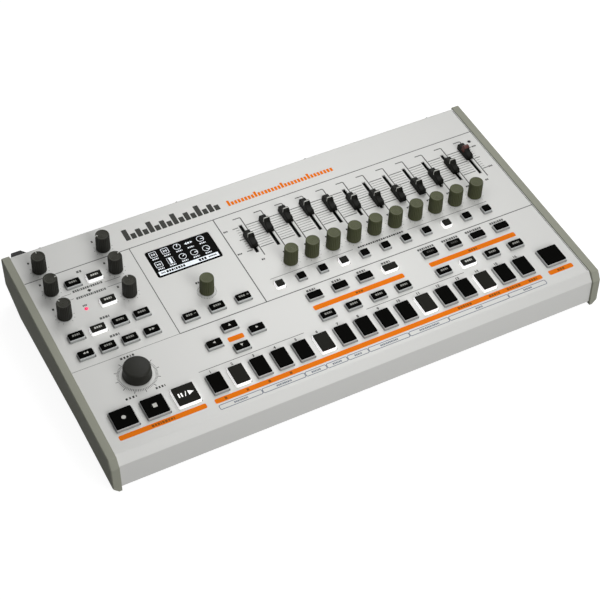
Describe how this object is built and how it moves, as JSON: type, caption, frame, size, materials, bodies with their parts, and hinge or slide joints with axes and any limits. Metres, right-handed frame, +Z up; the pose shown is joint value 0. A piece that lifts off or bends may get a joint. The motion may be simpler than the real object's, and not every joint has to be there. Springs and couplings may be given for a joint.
{
  "type": "drum machine",
  "caption": "Desktop drum machine with a sloping grey panel, step keys, faders, knobs, lit buttons and a small display between two side cheeks.",
  "frame": {"origin": "under the middle of the machine, on the plane that its feet stand on", "axes": "+X to the player's right, +Y to the rear, +Z up"},
  "size_m": [0.496, 0.267, 0.075],
  "materials": {
    "cover_paint": "fine matt powder coat",
    "tray_paint": "matt powder coat",
    "cheek_plastic": "fine moulded grain",
    "display_glass": "gloss black",
    "board": "printed circuit board with components",
    "black_plastic": "satin",
    "olive_plastic": "satin soft-touch",
    "key_plastic": "translucent rim under a black top",
    "foot_rubber": "matt"
  },
  "bodies": {
    "housing": {"top_cover": "cover_paint", "bottom_tray": "tray_paint", "left_cheek": "cheek_plastic", "right_cheek": "cheek_plastic", "display_window": "display_glass", "control_board": "board", "rear_board": "board", "cable_hook": "black_plastic", "feet": "foot_rubber"},
    "effect_pot_1": {"effect_knob_1": "black_plastic"},
    "effect_pot_2": {"effect_knob_2": "black_plastic"},
    "effect_pot_3": {"effect_knob_3": "black_plastic"},
    "effect_pot_4": {"effect_knob_4": "black_plastic"},
    "effect_pot_5": {"effect_knob_5": "black_plastic"},
    "effect_pot_6": {"effect_knob_6": "black_plastic"},
    "data_encoder": {"data_knob": "olive_plastic"},
    "tempo_encoder": {"tempo_knob": "black_plastic"},
    "voice_encoder_1": {"voice_knob_1": "olive_plastic"},
    "voice_encoder_2": {"voice_knob_2": "olive_plastic"},
    "voice_encoder_3": {"voice_knob_3": "olive_plastic"},
    "voice_encoder_4": {"voice_knob_4": "olive_plastic"},
    "voice_encoder_5": {"voice_knob_5": "olive_plastic"},
    "voice_encoder_6": {"voice_knob_6": "olive_plastic"},
    "voice_encoder_7": {"voice_knob_7": "olive_plastic"},
    "voice_encoder_8": {"voice_knob_8": "olive_plastic"},
    "voice_encoder_9": {"voice_knob_9": "olive_plastic"},
    "voice_encoder_10": {"voice_knob_10": "olive_plastic"},
    "slider_1": {"fader_1": "black_plastic"},
    "slider_2": {"fader_2": "black_plastic"},
    "slider_3": {"fader_3": "black_plastic"},
    "slider_4": {"fader_4": "black_plastic"},
    "slider_5": {"fader_5": "black_plastic"},
    "slider_6": {"fader_6": "black_plastic"},
    "slider_7": {"fader_7": "black_plastic"},
    "slider_8": {"fader_8": "black_plastic"},
    "slider_9": {"fader_9": "black_plastic"},
    "slider_10": {"fader_10": "black_plastic"},
    "slider_11": {"fader_11": "black_plastic"},
    "slider_12": {"fader_12": "black_plastic"},
    "step_1": {"step_key_1": "key_plastic"},
    "step_2": {"step_key_2": "key_plastic"},
    "step_3": {"step_key_3": "key_plastic"},
    "step_4": {"step_key_4": "key_plastic"},
    "step_5": {"step_key_5": "key_plastic"},
    "step_6": {"step_key_6": "key_plastic"},
    "step_7": {"step_key_7": "key_plastic"},
    "step_8": {"step_key_8": "key_plastic"},
    "step_9": {"step_key_9": "key_plastic"},
    "step_10": {"step_key_10": "key_plastic"},
    "step_11": {"step_key_11": "key_plastic"},
    "step_12": {"step_key_12": "key_plastic"},
    "step_13": {"step_key_13": "key_plastic"},
    "step_14": {"step_key_14": "key_plastic"},
    "step_15": {"step_key_15": "key_plastic"},
    "step_16": {"step_key_16": "key_plastic"},
    "transport_bank": {"transport_pads": "key_plastic"},
    "select_bank": {"select_buttons": "key_plastic"},
    "left_bank": {"left_buttons": "key_plastic"},
    "right_bank": {"right_buttons": "key_plastic"},
    "power_rocker": {"power_switch": "black_plastic"}
  },
  "joints": [
    {"name": "effect_turn_1", "type": "hinge", "parent": "housing", "child": "effect_pot_1", "pos_m": [-0.2206, 0.0971, 0.05561], "axis": [0, -0.0715, 0.9974], "range_deg": [-148, 152]},
    {"name": "effect_turn_2", "type": "hinge", "parent": "housing", "child": "effect_pot_2", "pos_m": [-0.2206, 0.06728, 0.05347], "axis": [0, -0.0715, 0.9974], "range_deg": [-60, 240]},
    {"name": "effect_turn_3", "type": "hinge", "parent": "housing", "child": "effect_pot_3", "pos_m": [-0.2206, 0.03476, 0.05114], "axis": [0, -0.0715, 0.9974], "range_deg": [-185, 115]},
    {"name": "effect_turn_4", "type": "hinge", "parent": "housing", "child": "effect_pot_4", "pos_m": [-0.1573, 0.0971, 0.05561], "axis": [0, -0.0715, 0.9974], "range_deg": [-233, 67]},
    {"name": "effect_turn_5", "type": "hinge", "parent": "housing", "child": "effect_pot_5", "pos_m": [-0.1573, 0.06728, 0.05347], "axis": [0, -0.0715, 0.9974], "range_deg": [-91, 209]},
    {"name": "effect_turn_6", "type": "hinge", "parent": "housing", "child": "effect_pot_6", "pos_m": [-0.1573, 0.03476, 0.05114], "axis": [0, -0.0715, 0.9974], "range_deg": [-144, 156]},
    {"name": "data_turn", "type": "hinge", "parent": "housing", "child": "data_encoder", "pos_m": [-0.0929, 0.00703, 0.04915], "axis": [0, -0.0715, 0.9974], "continuous": true},
    {"name": "tempo_turn", "type": "hinge", "parent": "housing", "child": "tempo_encoder", "pos_m": [-0.189, -0.05481, 0.04472], "axis": [0, -0.0715, 0.9974], "continuous": true},
    {"name": "voice_turn_1", "type": "hinge", "parent": "housing", "child": "voice_encoder_1", "pos_m": [-0.00664, 0.00673, 0.04913], "axis": [0, -0.0715, 0.9974], "continuous": true},
    {"name": "voice_turn_2", "type": "hinge", "parent": "housing", "child": "voice_encoder_2", "pos_m": [0.01572, 0.00673, 0.04913], "axis": [0, -0.0715, 0.9974], "continuous": true},
    {"name": "voice_turn_3", "type": "hinge", "parent": "housing", "child": "voice_encoder_3", "pos_m": [0.03808, 0.00673, 0.04913], "axis": [0, -0.0715, 0.9974], "continuous": true},
    {"name": "voice_turn_4", "type": "hinge", "parent": "housing", "child": "voice_encoder_4", "pos_m": [0.06044, 0.00673, 0.04913], "axis": [0, -0.0715, 0.9974], "continuous": true},
    {"name": "voice_turn_5", "type": "hinge", "parent": "housing", "child": "voice_encoder_5", "pos_m": [0.0828, 0.00673, 0.04913], "axis": [0, -0.0715, 0.9974], "continuous": true},
    {"name": "voice_turn_6", "type": "hinge", "parent": "housing", "child": "voice_encoder_6", "pos_m": [0.10516, 0.00673, 0.04913], "axis": [0, -0.0715, 0.9974], "continuous": true},
    {"name": "voice_turn_7", "type": "hinge", "parent": "housing", "child": "voice_encoder_7", "pos_m": [0.12752, 0.00673, 0.04913], "axis": [0, -0.0715, 0.9974], "continuous": true},
    {"name": "voice_turn_8", "type": "hinge", "parent": "housing", "child": "voice_encoder_8", "pos_m": [0.14988, 0.00673, 0.04913], "axis": [0, -0.0715, 0.9974], "continuous": true},
    {"name": "voice_turn_9", "type": "hinge", "parent": "housing", "child": "voice_encoder_9", "pos_m": [0.17224, 0.00673, 0.04913], "axis": [0, -0.0715, 0.9974], "continuous": true},
    {"name": "voice_turn_10", "type": "hinge", "parent": "housing", "child": "voice_encoder_10", "pos_m": [0.1946, 0.00673, 0.04913], "axis": [0, -0.0715, 0.9974], "continuous": true},
    {"name": "fader_slide_1", "type": "slide", "parent": "housing", "child": "slider_1", "axis": [0, 0.9974, 0.0715], "range_m": [-0.0112, 0.0188]},
    {"name": "fader_slide_2", "type": "slide", "parent": "housing", "child": "slider_2", "axis": [0, 0.9974, 0.0715], "range_m": [-0.0228, 0.0072]},
    {"name": "fader_slide_3", "type": "slide", "parent": "housing", "child": "slider_3", "axis": [0, 0.9974, 0.0715], "range_m": [-0.0262, 0.0038]},
    {"name": "fader_slide_4", "type": "slide", "parent": "housing", "child": "slider_4", "axis": [0, 0.9974, 0.0715], "range_m": [-0.0259, 0.0041]},
    {"name": "fader_slide_5", "type": "slide", "parent": "housing", "child": "slider_5", "axis": [0, 0.9974, 0.0715], "range_m": [-0.021, 0.009]},
    {"name": "fader_slide_6", "type": "slide", "parent": "housing", "child": "slider_6", "axis": [0, 0.9974, 0.0715], "range_m": [-0.0134, 0.0166]},
    {"name": "fader_slide_7", "type": "slide", "parent": "housing", "child": "slider_7", "axis": [0, 0.9974, 0.0715], "range_m": [-0.0077, 0.0223]},
    {"name": "fader_slide_8", "type": "slide", "parent": "housing", "child": "slider_8", "axis": [0, 0.9974, 0.0715], "range_m": [-0.0037, 0.0263]},
    {"name": "fader_slide_9", "type": "slide", "parent": "housing", "child": "slider_9", "axis": [0, 0.9974, 0.0715], "range_m": [-0.0041, 0.0259]},
    {"name": "fader_slide_10", "type": "slide", "parent": "housing", "child": "slider_10", "axis": [0, 0.9974, 0.0715], "range_m": [-0.0082, 0.0218]},
    {"name": "fader_slide_11", "type": "slide", "parent": "housing", "child": "slider_11", "axis": [0, 0.9974, 0.0715], "range_m": [-0.0148, 0.0152]},
    {"name": "fader_slide_12", "type": "slide", "parent": "housing", "child": "slider_12", "axis": [0, 0.9974, 0.0715], "range_m": [-0.026, 0.004]},
    {"name": "step_press_1", "type": "slide", "parent": "housing", "child": "step_1", "axis": [0, -0.0715, 0.9974], "range_m": [-0.0008, 0], "stiffness_N_per_m": 600, "springref_m": 0.0005},
    {"name": "step_press_2", "type": "slide", "parent": "housing", "child": "step_2", "axis": [0, -0.0715, 0.9974], "range_m": [-0.0008, 0], "stiffness_N_per_m": 600, "springref_m": 0.0005},
    {"name": "step_press_3", "type": "slide", "parent": "housing", "child": "step_3", "axis": [0, -0.0715, 0.9974], "range_m": [-0.0008, 0], "stiffness_N_per_m": 600, "springref_m": 0.0005},
    {"name": "step_press_4", "type": "slide", "parent": "housing", "child": "step_4", "axis": [0, -0.0715, 0.9974], "range_m": [-0.0008, 0], "stiffness_N_per_m": 600, "springref_m": 0.0005},
    {"name": "step_press_5", "type": "slide", "parent": "housing", "child": "step_5", "axis": [0, -0.0715, 0.9974], "range_m": [-0.0008, 0], "stiffness_N_per_m": 600, "springref_m": 0.0005},
    {"name": "step_press_6", "type": "slide", "parent": "housing", "child": "step_6", "axis": [0, -0.0715, 0.9974], "range_m": [-0.0008, 0], "stiffness_N_per_m": 600, "springref_m": 0.0005},
    {"name": "step_press_7", "type": "slide", "parent": "housing", "child": "step_7", "axis": [0, -0.0715, 0.9974], "range_m": [-0.0008, 0], "stiffness_N_per_m": 600, "springref_m": 0.0005},
    {"name": "step_press_8", "type": "slide", "parent": "housing", "child": "step_8", "axis": [0, -0.0715, 0.9974], "range_m": [-0.0008, 0], "stiffness_N_per_m": 600, "springref_m": 0.0005},
    {"name": "step_press_9", "type": "slide", "parent": "housing", "child": "step_9", "axis": [0, -0.0715, 0.9974], "range_m": [-0.0008, 0], "stiffness_N_per_m": 600, "springref_m": 0.0005},
    {"name": "step_press_10", "type": "slide", "parent": "housing", "child": "step_10", "axis": [0, -0.0715, 0.9974], "range_m": [-0.0008, 0], "stiffness_N_per_m": 600, "springref_m": 0.0005},
    {"name": "step_press_11", "type": "slide", "parent": "housing", "child": "step_11", "axis": [0, -0.0715, 0.9974], "range_m": [-0.0008, 0], "stiffness_N_per_m": 600, "springref_m": 0.0005},
    {"name": "step_press_12", "type": "slide", "parent": "housing", "child": "step_12", "axis": [0, -0.0715, 0.9974], "range_m": [-0.0008, 0], "stiffness_N_per_m": 600, "springref_m": 0.0005},
    {"name": "step_press_13", "type": "slide", "parent": "housing", "child": "step_13", "axis": [0, -0.0715, 0.9974], "range_m": [-0.0008, 0], "stiffness_N_per_m": 600, "springref_m": 0.0005},
    {"name": "step_press_14", "type": "slide", "parent": "housing", "child": "step_14", "axis": [0, -0.0715, 0.9974], "range_m": [-0.0008, 0], "stiffness_N_per_m": 600, "springref_m": 0.0005},
    {"name": "step_press_15", "type": "slide", "parent": "housing", "child": "step_15", "axis": [0, -0.0715, 0.9974], "range_m": [-0.0008, 0], "stiffness_N_per_m": 600, "springref_m": 0.0005},
    {"name": "step_press_16", "type": "slide", "parent": "housing", "child": "step_16", "axis": [0, -0.0715, 0.9974], "range_m": [-0.0008, 0], "stiffness_N_per_m": 600, "springref_m": 0.0005},
    {"name": "transport_press", "type": "slide", "parent": "housing", "child": "transport_bank", "axis": [0, -0.0715, 0.9974], "range_m": [-0.0008, 0], "stiffness_N_per_m": 1500, "springref_m": 0.0005},
    {"name": "select_press", "type": "slide", "parent": "housing", "child": "select_bank", "axis": [0, -0.0715, 0.9974], "range_m": [-0.0005, 0], "stiffness_N_per_m": 1500, "springref_m": 0.0005},
    {"name": "left_press", "type": "slide", "parent": "housing", "child": "left_bank", "axis": [0, -0.0715, 0.9974], "range_m": [-0.0005, 0], "stiffness_N_per_m": 1500, "springref_m": 0.0005},
    {"name": "right_press", "type": "slide", "parent": "housing", "child": "right_bank", "axis": [0, -0.0715, 0.9974], "range_m": [-0.0005, 0], "stiffness_N_per_m": 1500, "springref_m": 0.0005},
    {"name": "power_rock", "type": "hinge", "parent": "housing", "child": "power_rocker", "pos_m": [-0.2, 0.11873, 0.023], "axis": [1, 0, 0], "range_deg": [0, 12]}
  ]
}
